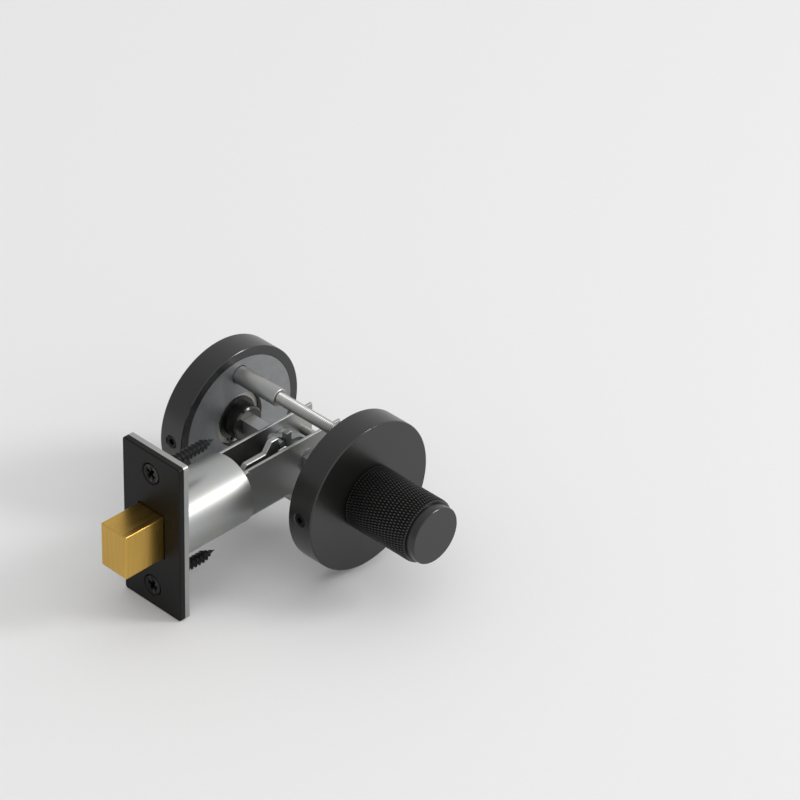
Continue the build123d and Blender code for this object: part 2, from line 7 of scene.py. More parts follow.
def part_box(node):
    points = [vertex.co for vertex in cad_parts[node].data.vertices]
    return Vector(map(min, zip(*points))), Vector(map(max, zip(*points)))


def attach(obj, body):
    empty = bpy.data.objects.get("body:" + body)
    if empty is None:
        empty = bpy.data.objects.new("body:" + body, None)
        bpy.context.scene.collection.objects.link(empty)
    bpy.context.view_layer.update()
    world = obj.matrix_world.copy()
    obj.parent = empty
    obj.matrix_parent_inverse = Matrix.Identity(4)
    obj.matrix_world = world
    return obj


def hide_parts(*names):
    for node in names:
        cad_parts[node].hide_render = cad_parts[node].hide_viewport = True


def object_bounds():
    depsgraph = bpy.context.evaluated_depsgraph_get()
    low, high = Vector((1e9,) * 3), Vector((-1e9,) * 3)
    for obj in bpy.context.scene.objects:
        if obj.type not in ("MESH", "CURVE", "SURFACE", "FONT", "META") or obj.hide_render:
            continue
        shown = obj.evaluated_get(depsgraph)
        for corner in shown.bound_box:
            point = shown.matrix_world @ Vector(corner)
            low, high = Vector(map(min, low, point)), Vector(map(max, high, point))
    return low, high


# A privacy bolt set for a bathroom door: a knurled thumbturn, a coin release and a tubular brass bolt.
# The sections follow a fitter's bench: the bolt and its case first, then the door's edge, then both faces.
# The frame is in metres, with the turn's axis along Y and the bolt thrown towards -X.
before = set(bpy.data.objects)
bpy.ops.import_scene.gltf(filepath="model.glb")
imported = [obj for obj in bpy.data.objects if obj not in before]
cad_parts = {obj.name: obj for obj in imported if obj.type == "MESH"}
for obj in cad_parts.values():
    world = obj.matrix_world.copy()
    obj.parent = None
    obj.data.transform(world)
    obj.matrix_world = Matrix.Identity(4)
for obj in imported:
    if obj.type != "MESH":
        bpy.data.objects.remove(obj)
cad_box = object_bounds()


# Bolt case, barrel, forend and tail: steel sheet and tube, pressed, folded and riveted, then zinc plated.
# Bright zinc is a clear grey with a faint blue and straw tint. The rolled sheet under it has fine lines
# along its length, drawn here about twice as wide as they are.

mm = 0.001


def linear(hex_colour):
    """Linear RGBA of an sRGB hex colour."""
    channels = [int(hex_colour[digit:digit + 2], 16) / 255 for digit in (1, 3, 5)]
    return [c / 12.92 if c <= 0.04045 else ((c + 0.055) / 1.055) ** 2.4 for c in channels] + [1]


def new_material(name):
    """Start a material with an empty node tree."""
    material = bpy.data.materials.new(name)
    material.use_nodes = True
    material.node_tree.nodes.clear()
    return material


def add_node(owner, kind, inputs, **settings):
    """Add a node. An input is given a value, or another node's output to link from."""
    node = owner.node_tree.nodes.new(kind)
    for name, value in settings.items():
        setattr(node, name, value)
    for name, value in inputs.items():
        if isinstance(value, bpy.types.NodeSocket):
            owner.node_tree.links.new(value, node.inputs[name])
        else:
            node.inputs[name].default_value = value
    return node


def dress(material, *names):
    """Give nodes of the frame their finish."""
    for name in names:
        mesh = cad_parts[name].data
        mesh.materials.clear()
        mesh.materials.append(material)


tint_patch = 9 * mm
rolled_line = 0.3 * mm
rolled_length = 16 * mm

plated_steel = new_material("zinc plated steel")
place = add_node(plated_steel, "ShaderNodeTexCoord", {}).outputs["Object"]
tint = add_node(plated_steel, "ShaderNodeTexNoise", {"Vector": place, "Scale": 1 / tint_patch, "Detail": 2})
colour = add_node(plated_steel, "ShaderNodeMixRGB", {
    "Fac": tint.outputs["Fac"],
    "Color1": linear("#a4a9af"),
    "Color2": linear("#b3b0a6"),
})
stretched = add_node(plated_steel, "ShaderNodeMapping", {
    "Vector": place,
    "Scale": (1 / rolled_length, 1 / rolled_line, 1 / rolled_line),
})
lines = add_node(plated_steel, "ShaderNodeTexNoise", {
    "Vector": stretched.outputs["Vector"],
    "Scale": 1,
    "Detail": 1,
})
gloss = add_node(plated_steel, "ShaderNodeMapRange", {
    "Value": lines.outputs["Fac"],
    "To Min": 0.33,
    "To Max": 0.44,
})
surface = add_node(plated_steel, "ShaderNodeBsdfPrincipled", {
    "Base Color": colour.outputs["Color"],
    "Metallic": 1,
    "Roughness": gloss.outputs["Result"],
})
add_node(plated_steel, "ShaderNodeOutputMaterial", {"Surface": surface.outputs["BSDF"]})
dress(plated_steel, "bolt_case", "case_rivets", "spring_rivet", "bolt_barrel", "forend", "bolt_tail")


# Follower and the two fixing plates: pressure cast zinc alloy, left as cast.
# The skin is a soft dull grey with the fine pebble of the mould and darker flow marks.

pebble = 0.45 * mm
flow_mark = 6 * mm

cast_zinc = new_material("cast zinc alloy")
place = add_node(cast_zinc, "ShaderNodeTexCoord", {}).outputs["Object"]
flow = add_node(cast_zinc, "ShaderNodeTexNoise", {
    "Vector": place,
    "Scale": 1 / flow_mark,
    "Detail": 4,
    "Distortion": 1.2,
})
colour = add_node(cast_zinc, "ShaderNodeMixRGB", {
    "Fac": flow.outputs["Fac"],
    "Color1": linear("#85878a"),
    "Color2": linear("#a3a4a5"),
})
grain = add_node(cast_zinc, "ShaderNodeTexNoise", {"Vector": place, "Scale": 1 / pebble, "Detail": 3})
gloss = add_node(cast_zinc, "ShaderNodeMapRange", {
    "Value": grain.outputs["Fac"],
    "To Min": 0.42,
    "To Max": 0.6,
})
relief = add_node(cast_zinc, "ShaderNodeBump", {
    "Height": grain.outputs["Fac"],
    "Strength": 0.35,
    "Distance": 0.03 * mm,
})
surface = add_node(cast_zinc, "ShaderNodeBsdfPrincipled", {
    "Base Color": colour.outputs["Color"],
    "Metallic": 1,
    "Roughness": gloss.outputs["Result"],
    "Normal": relief.outputs["Normal"],
})
add_node(cast_zinc, "ShaderNodeOutputMaterial", {"Surface": surface.outputs["BSDF"]})
dress(cast_zinc, "follower", "turn_base", "release_base")


# Detent spring, circlips and pins: hardened spring steel, phosphated and oiled.
# The phosphate is a near black grey with a fine crystal grain and a dull oily sheen.

crystal = 0.2 * mm

spring_steel = new_material("phosphated spring steel")
place = add_node(spring_steel, "ShaderNodeTexCoord", {}).outputs["Object"]
grain = add_node(spring_steel, "ShaderNodeTexNoise", {"Vector": place, "Scale": 1 / crystal, "Detail": 3})
colour = add_node(spring_steel, "ShaderNodeMixRGB", {
    "Fac": grain.outputs["Fac"],
    "Color1": linear("#3f4043"),
    "Color2": linear("#55565a"),
})
gloss = add_node(spring_steel, "ShaderNodeMapRange", {
    "Value": grain.outputs["Fac"],
    "To Min": 0.32,
    "To Max": 0.5,
})
surface = add_node(spring_steel, "ShaderNodeBsdfPrincipled", {
    "Base Color": colour.outputs["Color"],
    "Metallic": 1,
    "Roughness": gloss.outputs["Result"],
})
add_node(spring_steel, "ShaderNodeOutputMaterial", {"Surface": surface.outputs["BSDF"]})
dress(spring_steel, "detent_spring", "turn_circlip", "release_circlip", "spindle_pin", "tail_pin")


# Bolt: a square bar of drawn brass, faced and brushed up and down, with its corners just broken.
# The brushing gives fine lines, upright on the sides and lengthwise on the top. They are drawn here about
# three times as wide as they are.

brush_line = 0.22 * mm
brush_length = 18 * mm
top_tilt = 0.7

brushed_brass = new_material("brushed brass")
place = add_node(brushed_brass, "ShaderNodeTexCoord", {}).outputs["Object"]
facing = add_node(brushed_brass, "ShaderNodeTexCoord", {}).outputs["Normal"]
upward = add_node(brushed_brass, "ShaderNodeVectorMath", {0: facing, 1: (0, 0, 1)}, operation="DOT_PRODUCT")
tilt = add_node(brushed_brass, "ShaderNodeMath", {0: upward.outputs["Value"]}, operation="ABSOLUTE")
on_top = add_node(brushed_brass, "ShaderNodeMath", {
    0: tilt.outputs["Value"],
    1: top_tilt,
}, operation="GREATER_THAN")
stroke = add_node(brushed_brass, "ShaderNodeMixRGB", {
    "Fac": on_top.outputs["Value"],
    "Color1": (1 / brush_line, 1 / brush_line, 1 / brush_length, 1),
    "Color2": (1 / brush_length, 1 / brush_line, 1 / brush_line, 1),
})
stretched = add_node(brushed_brass, "ShaderNodeMapping", {"Vector": place, "Scale": stroke.outputs["Color"]})
lines = add_node(brushed_brass, "ShaderNodeTexNoise", {
    "Vector": stretched.outputs["Vector"],
    "Scale": 1,
    "Detail": 3,
})
colour = add_node(brushed_brass, "ShaderNodeMixRGB", {
    "Fac": lines.outputs["Fac"],
    "Color1": linear("#b68d3c"),
    "Color2": linear("#deb864"),
})
gloss = add_node(brushed_brass, "ShaderNodeMapRange", {
    "Value": lines.outputs["Fac"],
    "To Min": 0.22,
    "To Max": 0.38,
})
relief = add_node(brushed_brass, "ShaderNodeBump", {
    "Height": lines.outputs["Fac"],
    "Strength": 0.35,
    "Distance": 0.012 * mm,
})
surface = add_node(brushed_brass, "ShaderNodeBsdfPrincipled", {
    "Base Color": colour.outputs["Color"],
    "Metallic": 1,
    "Roughness": gloss.outputs["Result"],
    "Normal": relief.outputs["Normal"],
})
add_node(brushed_brass, "ShaderNodeOutputMaterial", {"Surface": surface.outputs["BSDF"]})
dress(brushed_brass, "dead_bolt")


# Faceplate: a stamped steel plate on the door's edge, black electrocoat over phosphate.
# The thin coat follows the steel's fine grain, so it is duller than the roses' powder coat.

coat_grain = 0.35 * mm

electrocoat = new_material("black electrocoat")
place = add_node(electrocoat, "ShaderNodeTexCoord", {}).outputs["Object"]
grain = add_node(electrocoat, "ShaderNodeTexNoise", {"Vector": place, "Scale": 1 / coat_grain, "Detail": 3})
gloss = add_node(electrocoat, "ShaderNodeMapRange", {
    "Value": grain.outputs["Fac"],
    "To Min": 0.4,
    "To Max": 0.52,
})
surface = add_node(electrocoat, "ShaderNodeBsdfPrincipled", {
    "Base Color": linear("#0d0d0d"),
    "Roughness": gloss.outputs["Result"],
    "Specular IOR Level": 0.19,
})
add_node(electrocoat, "ShaderNodeOutputMaterial", {"Surface": surface.outputs["BSDF"]})
dress(electrocoat, "faceplate")


# Wood screws: two countersunk screws through the faceplate, steel, cold headed and thread rolled.
# Black zinc plate leaves them dark and slightly glossier than the plate round them.

merge_distance = 0.001 * mm


def spin_outline(shape, outline, steps):
    """Turn an outline of (radius, height) points about Y into a round body."""
    line = [shape.verts.new((radius, height, 0)) for radius, height in outline]
    edges = [shape.edges.new(pair) for pair in zip(line, line[1:])]
    bmesh.ops.spin(
        shape, geom=line + edges, cent=(0, 0, 0), axis=(0, 1, 0), angle=2 * pi, steps=steps, use_merge=True
    )
    bmesh.ops.remove_doubles(shape, verts=shape.verts[:], dist=merge_distance)


def wind_thread(shape, core, crest, pitch, start, end):
    """Wind a ridge about Y, rooted a little inside the core."""
    steps_in_turn = 28
    root_depth = 0.05 * mm
    root = core - root_depth
    flank = 0.42 * pitch
    flat = 0.06 * pitch
    section = [(root, start - flank), (crest, start - flat), (crest, start + flat), (root, start + flank)]
    ring = [shape.verts.new((radius, height, 0)) for radius, height in section]
    edges = [shape.edges.new(pair) for pair in zip(ring, ring[1:] + ring[:1])]
    turns = (end - start) / pitch
    bmesh.ops.spin(
        shape,
        geom=ring + edges,
        cent=(0, 0, 0),
        axis=(0, 1, 0),
        dvec=(0, pitch / steps_in_turn, 0),
        angle=2 * pi * turns,
        steps=round(turns * steps_in_turn),
    )
    bmesh.ops.holes_fill(shape, edges=[edge for edge in shape.edges if edge.is_boundary])


def make_object(name, shape, sharp_angle):
    """Turn a shape's faces outwards, shade it smooth up to an angle and put it in the scene."""
    bmesh.ops.recalc_face_normals(shape, faces=shape.faces[:])
    for face in shape.faces:
        face.smooth = True
    for edge in shape.edges:
        edge.smooth = edge.calc_face_angle(0) < radians(sharp_angle)
    mesh = bpy.data.meshes.new(name)
    shape.to_mesh(mesh)
    shape.free()
    piece = bpy.data.objects.new(name, mesh)
    bpy.context.scene.collection.objects.link(piece)
    return piece


def cut_away(piece, cutter):
    """Cut one object's solid out of another's."""
    boolean = piece.modifiers.new("cut", "BOOLEAN")
    boolean.operation = "DIFFERENCE"
    boolean.use_self = True
    boolean.object = cutter
    graph = bpy.context.evaluated_depsgraph_get()
    cut_mesh = bpy.data.meshes.new_from_object(piece.evaluated_get(graph))
    shape = bmesh.new()
    shape.from_mesh(cut_mesh)
    bmesh.ops.remove_doubles(shape, verts=shape.verts[:], dist=merge_distance)
    shape.to_mesh(cut_mesh)
    shape.free()
    piece.modifiers.clear()
    piece.data = cut_mesh
    bpy.data.objects.remove(cutter)


def place_pair(shape, first_place, second_place):
    """Copy a shape, then put the first at one place and the copy at another."""
    first = shape.verts[:]
    copied = bmesh.ops.duplicate(shape, geom=shape.verts[:] + shape.edges[:] + shape.faces[:])["geom"]
    second = [item for item in copied if isinstance(item, bmesh.types.BMVert)]
    bmesh.ops.transform(shape, matrix=first_place, verts=first)
    bmesh.ops.transform(shape, matrix=second_place, verts=second)


def finish_piece(piece, material, body, slot, *replaced):
    """Give a piece its finish and its body, and hide the nodes that it stands for. The slot is not used."""
    piece.data.materials.append(material)
    weighted = piece.modifiers.new("flat faces stay flat", "WEIGHTED_NORMAL")
    weighted.keep_sharp = True
    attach(piece, body)
    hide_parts(*replaced)


plating_speck = 0.4 * mm

black_zinc = new_material("black zinc plate")
place = add_node(black_zinc, "ShaderNodeTexCoord", {}).outputs["Object"]
specks = add_node(black_zinc, "ShaderNodeTexNoise", {
    "Vector": place,
    "Scale": 1 / plating_speck,
    "Detail": 3,
})
colour = add_node(black_zinc, "ShaderNodeMixRGB", {
    "Fac": specks.outputs["Fac"],
    "Color1": linear("#0b0b0c"),
    "Color2": linear("#131314"),
})
gloss = add_node(black_zinc, "ShaderNodeMapRange", {
    "Value": specks.outputs["Fac"],
    "To Min": 0.3,
    "To Max": 0.42,
})
surface = add_node(black_zinc, "ShaderNodeBsdfPrincipled", {
    "Base Color": colour.outputs["Color"],
    "Roughness": gloss.outputs["Result"],
    "Specular IOR Level": 0.25,
})
add_node(black_zinc, "ShaderNodeOutputMaterial", {"Surface": surface.outputs["BSDF"]})

screw_low, screw_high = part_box("faceplate_screws")
seat_radius = (screw_high.y - screw_low.y) / 2
screw_spacing = screw_high.z - screw_low.z - 2 * seat_radius
screw_length = screw_high.x - screw_low.x
head_sink = 0.06 * mm
head_gap = 0.6 * mm
head_edge = 0.08 * mm
head_radius = seat_radius - head_gap
neck_radius = 2.1 * mm
neck_end = 4 * mm
core_radius = 1.35 * mm
crest_radius = 1.95 * mm
screw_pitch = 1.6 * mm
point_length = 5 * mm
point_width = 0.04
thread_start = neck_end + screw_pitch
thread_end = screw_length - screw_pitch
screw_steps = 64

screws = bmesh.new()
spin_outline(screws, [
    (0, head_sink),
    (head_radius - head_edge, head_sink),
    (head_radius, head_sink + head_edge),
    (head_radius, head_gap),
    (neck_radius, seat_radius - neck_radius),
    (neck_radius, neck_end),
    (core_radius, neck_end + neck_radius - core_radius),
    (core_radius, screw_length - point_length),
    (core_radius, screw_length),
    (0, screw_length),
], screw_steps)
wind_thread(screws, core_radius, crest_radius, screw_pitch, thread_start, thread_end)
for vert in screws.verts:
    taper = min(1, (screw_length - vert.co.y) / point_length + point_width)
    vert.co.x *= taper
    vert.co.z *= taper

wing_length = 3.8 * mm
wing_width = 1.1 * mm
recess_depth = 2.4 * mm
wing_length_taper = 0.5
wing_width_taper = 0.75
recess = bmesh.new()
for turn in (0, 90):
    wing = bmesh.ops.create_cube(recess, size=1)["verts"]
    bmesh.ops.scale(recess, verts=wing, vec=(wing_length, recess_depth, wing_width))
    deep = [vert for vert in wing if vert.co.y > 0]
    bmesh.ops.scale(recess, verts=deep, vec=(wing_length_taper, 1, wing_width_taper))
    bmesh.ops.translate(recess, verts=wing, vec=(0, recess_depth / 2, 0))
    bmesh.ops.rotate(recess, verts=wing, cent=(0, 0, 0), matrix=Matrix.Rotation(radians(turn), 3, "Y"))

# The cross recess is painted almost black with little reflection, as painted shade in the recess
recess_painted_shade = new_material("black zinc with painted shade in a recess")
surface = add_node(recess_painted_shade, "ShaderNodeBsdfPrincipled", {
    "Base Color": linear("#060606"),
    "Roughness": 0.7,
    "Specular IOR Level": 0.06,
})
add_node(recess_painted_shade, "ShaderNodeOutputMaterial", {"Surface": surface.outputs["BSDF"]})

# Each screw stopped at its own angle when it was driven home
upper_turn = Matrix.Rotation(radians(32), 4, "Y")
lower_turn = Matrix.Rotation(radians(22), 4, "Y")
screw_middle = (screw_low.y + screw_high.y) / 2
laid = Matrix.Rotation(radians(-90), 4, "Z")
upper_place = Matrix.Translation((screw_low.x, screw_middle, screw_spacing / 2)) @ laid
lower_place = Matrix.Translation((screw_low.x, screw_middle, -screw_spacing / 2)) @ laid
place_pair(screws, upper_place, lower_place)
place_pair(recess, upper_place @ upper_turn, lower_place @ lower_turn)
wood_screws = make_object("wood_screws", screws, sharp_angle=35)
cut_away(wood_screws, make_object("recess", recess, sharp_angle=35))
finish_piece(wood_screws, black_zinc, "lock_body", "black_screw", "faceplate_screws")
wood_screws.data.materials.append(recess_painted_shade)
# Faces inside the cross recess take the painted recess shade
for polygon in wood_screws.data.polygons:
    depth = polygon.center.x - screw_low.x
    off_axis = Vector((polygon.center.y - screw_middle, abs(polygon.center.z) - screw_spacing / 2)).length
    polygon.material_index = int(head_sink + head_edge < depth < neck_end and off_axis < wing_length / 2)


# Spindle, and the sleeve nuts that the through-bolts screw into: cold drawn steel, zinc plated.
# They keep their forms from the frame.

dress(plated_steel, "spindle", "sleeve_nuts")


# Through-bolts: two long pan-head machine screws that clamp both fixing plates on the door.
# They are rolled from steel wire, with an M4 thread to the head, and zinc plated.

bolts_low, bolts_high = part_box("through_bolts")
pan_radius = (bolts_high.x - bolts_low.x) / 2
pan_height = 2.6 * mm
pan_round = 1.2 * mm
thread_core = 1.6 * mm
thread_crest = 2 * mm
thread_pitch = 0.7 * mm
bolt_length = bolts_high.y - bolts_low.y
bolt_spacing = bolts_high.z - bolts_low.z - 2 * pan_radius
end_chamfer = 0.3 * mm
round_steps = 6
bolt_steps = 48

bolts = bmesh.new()
pan_outline = [
    (pan_radius - pan_round + pan_round * sin(angle), pan_round - pan_round * cos(angle))
    for angle in [radians(90) * step / round_steps for step in range(round_steps + 1)]
]
spin_outline(bolts, [(0, 0)] + pan_outline + [
    (pan_radius, pan_height),
    (thread_core, pan_height),
    (thread_core, bolt_length - end_chamfer),
    (thread_core - end_chamfer, bolt_length),
    (0, bolt_length),
], bolt_steps)
wind_thread(bolts, thread_core, thread_crest, thread_pitch, pan_height, bolt_length - thread_pitch)

slot_width = 1.2 * mm
slot_depth = 1.2 * mm
slots = bmesh.new()
bmesh.ops.create_cube(slots, size=1)
bmesh.ops.scale(slots, verts=slots.verts[:], vec=(3 * pan_radius, 2 * slot_depth, slot_width))
upper_place = Matrix.Translation((0, bolts_low.y, bolt_spacing / 2))
lower_place = Matrix.Translation((0, bolts_low.y, -bolt_spacing / 2))
place_pair(bolts, upper_place, lower_place)
place_pair(slots, upper_place, lower_place)
through_bolts = make_object("threaded_bolts", bolts, sharp_angle=35)
cut_away(through_bolts, make_object("driver_slots", slots, sharp_angle=35))
finish_piece(through_bolts, plated_steel, "lock_body", "plated_steel", "through_bolts")


# Washers behind the circlips: stamped from natural nylon sheet.
# Nylon is a milky off-white that lets a little light in.

cloud = 3 * mm

nylon = new_material("natural nylon")
place = add_node(nylon, "ShaderNodeTexCoord", {}).outputs["Object"]
clouds = add_node(nylon, "ShaderNodeTexNoise", {"Vector": place, "Scale": 1 / cloud, "Detail": 2})
colour = add_node(nylon, "ShaderNodeMixRGB", {
    "Fac": clouds.outputs["Fac"],
    "Color1": linear("#dcd6c6"),
    "Color2": linear("#e8e4d8"),
})
surface = add_node(nylon, "ShaderNodeBsdfPrincipled", {
    "Base Color": colour.outputs["Color"],
    "Roughness": 0.45,
    "IOR": 1.53,
    "Subsurface Weight": 0.15,
    "Subsurface Scale": 1 * mm,
})
add_node(nylon, "ShaderNodeOutputMaterial", {"Surface": surface.outputs["BSDF"]})
dress(nylon, "turn_washer", "release_washer")


# Cover roses and coin release: turned brass cups and a turned disc, powder coated black and baked.
# The powder flows out almost flat, with a faint orange peel and an even, soft gloss.
# Each rose is held by a small black grub screw in its rim.

peel = 0.9 * mm
shade_patch = 14 * mm

powder_coat = new_material("black powder coat")
place = add_node(powder_coat, "ShaderNodeTexCoord", {}).outputs["Object"]
shade = add_node(powder_coat, "ShaderNodeTexNoise", {"Vector": place, "Scale": 1 / shade_patch, "Detail": 2})
colour = add_node(powder_coat, "ShaderNodeMixRGB", {
    "Fac": shade.outputs["Fac"],
    "Color1": linear("#0c0c0b"),
    "Color2": linear("#121211"),
})
lumps = add_node(powder_coat, "ShaderNodeTexNoise", {"Vector": place, "Scale": 1 / peel, "Detail": 2})
gloss = add_node(powder_coat, "ShaderNodeMapRange", {
    "Value": lumps.outputs["Fac"],
    "To Min": 0.27,
    "To Max": 0.35,
})

# The coat runs thin over the turned edges, which slope between face and rim, and shines more there
edge_slope = 0.62
edge_slope_spread = 0.32
edge_shine = 0.14
facing = add_node(powder_coat, "ShaderNodeTexCoord", {}).outputs["Normal"]
along_axis = add_node(powder_coat, "ShaderNodeVectorMath", {0: facing, 1: (0, 1, 0)}, operation="DOT_PRODUCT")
slope = add_node(powder_coat, "ShaderNodeMath", {0: along_axis.outputs["Value"]}, operation="ABSOLUTE")
on_edge = add_node(powder_coat, "ShaderNodeMath", {
    0: slope.outputs["Value"],
    1: edge_slope,
    2: edge_slope_spread,
}, operation="COMPARE")
edge_gloss = add_node(powder_coat, "ShaderNodeMath", {
    0: on_edge.outputs["Value"],
    1: -edge_shine,
    2: gloss.outputs["Result"],
}, operation="MULTIPLY_ADD")
relief = add_node(powder_coat, "ShaderNodeBump", {
    "Height": lumps.outputs["Fac"],
    "Strength": 0.2,
    "Distance": 0.012 * mm,
})
surface = add_node(powder_coat, "ShaderNodeBsdfPrincipled", {
    "Base Color": colour.outputs["Color"],
    "Roughness": edge_gloss.outputs["Value"],
    "IOR": 1.6,
    "Normal": relief.outputs["Normal"],
})
add_node(powder_coat, "ShaderNodeOutputMaterial", {"Surface": surface.outputs["BSDF"]})
dress(powder_coat, "turn_rose", "release_rose", "release_turn")

# Black oxide leaves the grub screws almost without sheen
black_oxide = new_material("black oxide steel")
surface = add_node(black_oxide, "ShaderNodeBsdfPrincipled", {
    "Base Color": linear("#0b0b0c"),
    "Roughness": 0.5,
    "Specular IOR Level": 0.2,
})
add_node(black_oxide, "ShaderNodeOutputMaterial", {"Surface": surface.outputs["BSDF"]})
dress(black_oxide, "turn_rose_grub_screw", "release_rose_grub_screw")


# Thumbturn knob: turned from brass bar with a rolled diamond knurl, then powder coated.
# The coat rounds the diamonds' tops, and fingers leave the tops glossier. The grooves are painted darker with
# weaker reflection as painted shade, and the tops lighter with stronger reflection as a painted highlight.

knob_low, knob_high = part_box("turn_knob")
knob_radius = knob_high.x
knob_end = knob_low.y
neck_tip = knob_high.y
grip_gap = 0.4 * mm
grip_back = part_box("turn_rose")[0].y - grip_gap
grip_chamfer = 0.5 * mm
band_radius = 9.6 * mm
band_length = 3.2 * mm
band_chamfer = 0.25 * mm
shoulder_radius = 7 * mm
stem_radius = 6 * mm
stem_chamfer = 0.5 * mm
stem_start = -7.1 * mm
clip_groove = (-1.85 * mm, -0.95 * mm)
clip_groove_depth = 0.6 * mm
socket_half = 2.55 * mm
socket_floor = -18.5 * mm
pin_hole_radius = 1.05 * mm
pin_height = 2 * mm
pin_hole_length = 4 * stem_radius
edge_round = 0.07 * mm
ring_angle = 30

knurl_count = 70
knurl_depth = 0.42 * mm
diamond_length = 2.74 * mm
groove_floor = (0.04 * mm, 0)
diamond_flank = (0.2 * mm, 0.33 * mm)
diamond_shoulder = (0.1 * mm, 0.07 * mm)
knurl_root = knob_radius - knurl_depth
grip_front = knob_end + band_length
diamond_rows = round((grip_back - grip_front) / diamond_length)
diamond_step = (grip_back - grip_front) / diamond_rows

# Knurl: a net is spun a row too long at each end. Its cells are poked and their sides dissolved, which
# leaves diamonds to raise, each step by an inset and a rise
knob_shape = bmesh.new()
spin_outline(knob_shape, [
    (knurl_root, grip_front + row * diamond_step) for row in range(-1, diamond_rows + 2)
], knurl_count)
bmesh.ops.recalc_face_normals(knob_shape, faces=knob_shape.faces[:])
sides = [edge for edge in knob_shape.edges if not edge.is_boundary]
bmesh.ops.poke(knob_shape, faces=knob_shape.faces[:])
bmesh.ops.dissolve_edges(knob_shape, edges=sides)
diamonds = knob_shape.faces[:]
for inset, rise in (groove_floor, diamond_flank, diamond_shoulder):
    bmesh.ops.inset_individual(knob_shape, faces=diamonds, thickness=inset, depth=rise, use_even_offset=True)

# The grip is cut to length, and its front is turned to a chamfer
for height, drop_front, drop_back in (
    (grip_front, True, False),
    (grip_front + grip_chamfer, False, False),
    (grip_back, False, True),
):
    bmesh.ops.bisect_plane(
        knob_shape,
        geom=knob_shape.verts[:] + knob_shape.edges[:] + knob_shape.faces[:],
        dist=merge_distance,
        plane_co=(0, height, 0),
        plane_no=(0, 1, 0),
        clear_inner=drop_front,
        clear_outer=drop_back,
    )
for vert in knob_shape.verts:
    turned_radius = knob_radius - grip_chamfer + vert.co.y - grip_front
    trim = min(1, turned_radius / vert.co.xz.length)
    vert.co.x *= trim
    vert.co.z *= trim

# Smooth end band in front of the grip, and the neck behind it
spin_outline(knob_shape, [
    (0, knob_end),
    (band_radius - band_chamfer, knob_end),
    (band_radius, knob_end + band_chamfer),
    (band_radius, grip_front),
], knurl_count)
spin_outline(knob_shape, [
    (shoulder_radius, grip_back),
    (shoulder_radius, stem_start),
    (stem_radius, stem_start),
    (stem_radius, clip_groove[0]),
    (stem_radius - clip_groove_depth, clip_groove[0]),
    (stem_radius - clip_groove_depth, clip_groove[1]),
    (stem_radius, clip_groove[1]),
    (stem_radius, neck_tip - stem_chamfer),
    (stem_radius - stem_chamfer, neck_tip),
], knurl_count)
level_within = 0.01 * mm
for height in (grip_front, grip_back):
    rims = [
        edge for edge in knob_shape.edges
        if edge.is_boundary and all(abs(vert.co.y - height) < level_within for vert in edge.verts)
    ]
    bmesh.ops.triangle_fill(knob_shape, edges=rims, normal=(0, 1, 0), use_beauty=True)

# Square socket for the spindle, let in from the end of the neck
mouth = [edge for edge in knob_shape.edges if edge.is_boundary]
corners = bmesh.ops.create_circle(knob_shape, segments=4, radius=socket_half * 2 ** 0.5)["verts"]
bmesh.ops.rotate(knob_shape, verts=corners, cent=(0, 0, 0), matrix=Matrix.Rotation(radians(45), 3, "Z"))
bmesh.ops.rotate(knob_shape, verts=corners, cent=(0, 0, 0), matrix=Matrix.Rotation(radians(90), 3, "X"))
bmesh.ops.translate(knob_shape, verts=corners, vec=(0, neck_tip, 0))
square = list({edge for vert in corners for edge in vert.link_edges})
bmesh.ops.bridge_loops(knob_shape, edges=mouth + square)
sunk = bmesh.ops.extrude_edge_only(knob_shape, edges=square)["geom"]
sunk_verts = [item for item in sunk if isinstance(item, bmesh.types.BMVert)]
bmesh.ops.translate(knob_shape, verts=sunk_verts, vec=(0, socket_floor - neck_tip, 0))
bmesh.ops.contextual_create(knob_shape, geom=[item for item in sunk if isinstance(item, bmesh.types.BMEdge)])

end_rings = [
    edge for edge in knob_shape.edges
    if all(vert.co.y < knob_end + 2 * band_chamfer for vert in edge.verts)
    and abs(edge.verts[0].co.y - edge.verts[1].co.y) < merge_distance
    and edge.calc_face_angle(0) > radians(ring_angle)
]
bmesh.ops.bevel(
    knob_shape, geom=end_rings, offset=edge_round, segments=2, profile=0.5, affect="EDGES", material=-1
)
knob = make_object("knurled_knob", knob_shape, sharp_angle=28)

pin_hole = bmesh.new()
bmesh.ops.create_cone(
    pin_hole,
    cap_ends=True,
    segments=32,
    radius1=pin_hole_radius,
    radius2=pin_hole_radius,
    depth=pin_hole_length,
)
bmesh.ops.rotate(pin_hole, verts=pin_hole.verts, cent=(0, 0, 0), matrix=Matrix.Rotation(radians(90), 3, "Y"))
bmesh.ops.translate(pin_hole, verts=pin_hole.verts, vec=(0, pin_height, 0))
cut_away(knob, make_object("pin_hole", pin_hole, sharp_angle=50))
finish_piece(knob, powder_coat, "turn", "black_coat", "turn_knob")

# Radius mask: painted shade in the grooves, a painted highlight on the tops, and glossier worn tops
wear_and_light_start = knob_radius - 0.6 * knurl_depth
wear_and_light_full = knob_radius - 0.2 * knurl_depth
worn_coat_with_painted_light = new_material("black powder coat worn on a knurl")
place = add_node(worn_coat_with_painted_light, "ShaderNodeTexCoord", {}).outputs["Object"]
from_axis = add_node(worn_coat_with_painted_light, "ShaderNodeVectorMath", {0: place, 1: (1, 0, 1)}, operation="MULTIPLY")
reach = add_node(worn_coat_with_painted_light, "ShaderNodeVectorMath", {0: from_axis.outputs["Vector"]}, operation="LENGTH")
wear_and_painted_light = add_node(worn_coat_with_painted_light, "ShaderNodeMapRange", {
    "Value": reach.outputs["Value"],
    "From Min": wear_and_light_start,
    "From Max": wear_and_light_full,
})
